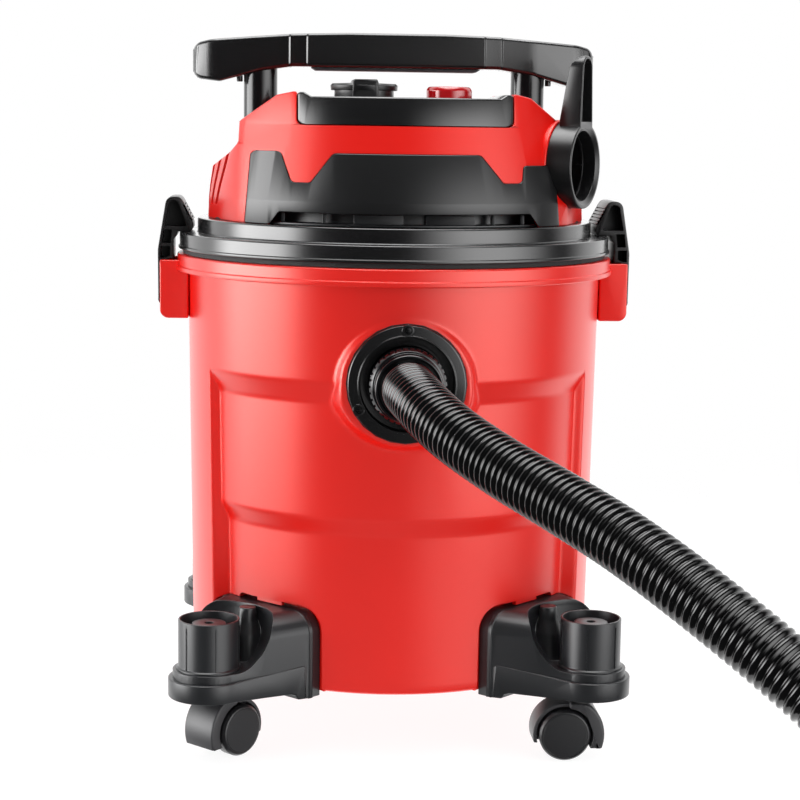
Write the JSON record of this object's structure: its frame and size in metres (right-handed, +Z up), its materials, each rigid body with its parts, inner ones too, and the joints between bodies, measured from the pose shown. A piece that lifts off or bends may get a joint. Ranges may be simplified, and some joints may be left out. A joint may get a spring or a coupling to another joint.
{
  "type": "shop vacuum",
  "caption": "Upright wet and dry vacuum: round tank on castor feet, clamped motor head, carrying handle, blower port and corrugated suction hose.",
  "frame": {"origin": "on the floor under the middle of the tank", "axes": "+Z up, the front with the hose inlet faces -Y, +X to the right seen from the front"},
  "size_m": [0.7998, 0.8116, 0.5554],
  "materials": {
    "red_plastic": "satin gloss moulded",
    "black_plastic": "satin moulded",
    "charcoal_plastic": "satin moulded",
    "gloss_black": "glossy",
    "button_red": "polished",
    "rubber": "matt",
    "steel": "zinc plated",
    "filter_paper": "pleated paper",
    "white_plastic": "moulded"
  },
  "bodies": {
    "body": {"tank": "red_plastic", "head_shell": "red_plastic", "lid": "black_plastic", "inlet_flange": "black_plastic", "inlet_deflector": "black_plastic", "filter_cage": "black_plastic", "filter_retainer": "black_plastic", "front_fascia": "black_plastic", "rear_fascia": "black_plastic", "exhaust_grille": "black_plastic", "control_panel": "black_plastic", "switch_box": "black_plastic", "side_port": "black_plastic", "handle_bar": "black_plastic", "hose_end": "black_plastic", "lid_seal": "rubber", "inlet_gasket": "rubber", "motor_gasket": "rubber", "cable_gland": "rubber", "handle_grip": "rubber", "inlet_screw_1": "steel", "inlet_screw_2": "steel", "inlet_screw_3": "steel", "motor": "steel", "latch_pin_left": "steel", "latch_pin_right": "steel", "cartridge_filter": "filter_paper", "handle_tube_left": "gloss_black", "handle_tube_right": "gloss_black", "hose": "gloss_black", "foot_front_left": "charcoal_plastic", "foot_front_right": "charcoal_plastic", "foot_rear_right": "charcoal_plastic", "foot_rear_left": "charcoal_plastic"},
    "latch_left": {"latch_left": "black_plastic"},
    "latch_right": {"latch_right": "black_plastic"},
    "power_knob": {"power_knob": "black_plastic"},
    "start_button": {"start_button": "button_red"},
    "motor_rotor": {"motor_rotor": "steel"},
    "float_ball": {"float_ball": "white_plastic"},
    "hose_cuff": {"hose_cuff": "black_plastic"},
    "castor_front_left": {"castor_hood_front_left": "black_plastic"},
    "wheels_front_left": {"castor_axle_front_left": "steel", "wheel_a_front_left": "black_plastic", "wheel_b_front_left": "black_plastic"},
    "castor_front_right": {"castor_hood_front_right": "black_plastic"},
    "wheels_front_right": {"castor_axle_front_right": "steel", "wheel_a_front_right": "black_plastic", "wheel_b_front_right": "black_plastic"},
    "castor_rear_right": {"castor_hood_rear_right": "black_plastic"},
    "wheels_rear_right": {"castor_axle_rear_right": "steel", "wheel_a_rear_right": "black_plastic", "wheel_b_rear_right": "black_plastic"},
    "castor_rear_left": {"castor_hood_rear_left": "black_plastic"},
    "wheels_rear_left": {"castor_axle_rear_left": "steel", "wheel_a_rear_left": "black_plastic", "wheel_b_rear_left": "black_plastic"}
  },
  "joints": [
    {"name": "latch_right_hinge", "type": "hinge", "parent": "body", "child": "latch_right", "pos_m": [0.18651, 0, 0.341], "axis": [0, 1, 0], "range_deg": [0, 35]},
    {"name": "latch_left_hinge", "type": "hinge", "parent": "body", "child": "latch_left", "pos_m": [-0.18651, 0, 0.341], "axis": [0, -1, 0], "range_deg": [0, 35]},
    {"name": "knob_turn", "type": "hinge", "parent": "body", "child": "power_knob", "pos_m": [-0.029, -0.062, 0.503], "axis": [0, 0, -1], "range_deg": [0, 90]},
    {"name": "button_press", "type": "slide", "parent": "body", "child": "start_button", "axis": [0, 0, -1], "range_m": [0, 0.003], "stiffness_N_per_m": 800},
    {"name": "motor_spin", "type": "hinge", "parent": "body", "child": "motor_rotor", "pos_m": [0, 0, 0.4], "axis": [0, 0, 1], "continuous": true},
    {"name": "float_rise", "type": "slide", "parent": "body", "child": "float_ball", "axis": [0, 0, 1], "range_m": [0, 0.058]},
    {"name": "cuff_turn", "type": "hinge", "parent": "body", "child": "hose_cuff", "pos_m": [0, -0.17, 0.2926], "axis": [0, -1, 0], "range_deg": [0, 40]},
    {"name": "castor_swivel_front_left", "type": "hinge", "parent": "body", "child": "castor_front_left", "pos_m": [-0.14658, -0.14658, 0.05], "axis": [0, 0, 1], "continuous": true},
    {"name": "wheel_spin_front_left", "type": "hinge", "parent": "castor_front_left", "child": "wheels_front_left", "pos_m": [-0.13244, -0.13244, 0.02], "axis": [0.7071, -0.7071, 0], "continuous": true},
    {"name": "castor_swivel_front_right", "type": "hinge", "parent": "body", "child": "castor_front_right", "pos_m": [0.14658, -0.14658, 0.05], "axis": [0, 0, 1], "continuous": true},
    {"name": "wheel_spin_front_right", "type": "hinge", "parent": "castor_front_right", "child": "wheels_front_right", "pos_m": [0.12658, -0.14658, 0.02], "axis": [0, 1, 0], "continuous": true},
    {"name": "castor_swivel_rear_right", "type": "hinge", "parent": "body", "child": "castor_rear_right", "pos_m": [0.14658, 0.14658, 0.05], "axis": [0, 0, 1], "continuous": true},
    {"name": "wheel_spin_rear_right", "type": "hinge", "parent": "castor_rear_right", "child": "wheels_rear_right", "pos_m": [0.12846, 0.13813, 0.02], "axis": [-0.4226, 0.9063, 0], "continuous": true},
    {"name": "castor_swivel_rear_left", "type": "hinge", "parent": "body", "child": "castor_rear_left", "pos_m": [-0.14658, 0.14658, 0.05], "axis": [0, 0, 1], "continuous": true},
    {"name": "wheel_spin_rear_left", "type": "hinge", "parent": "castor_rear_left", "child": "wheels_rear_left", "pos_m": [-0.12726, 0.15176, 0.02], "axis": [0.2588, -0.9659, 0], "continuous": true}
  ]
}
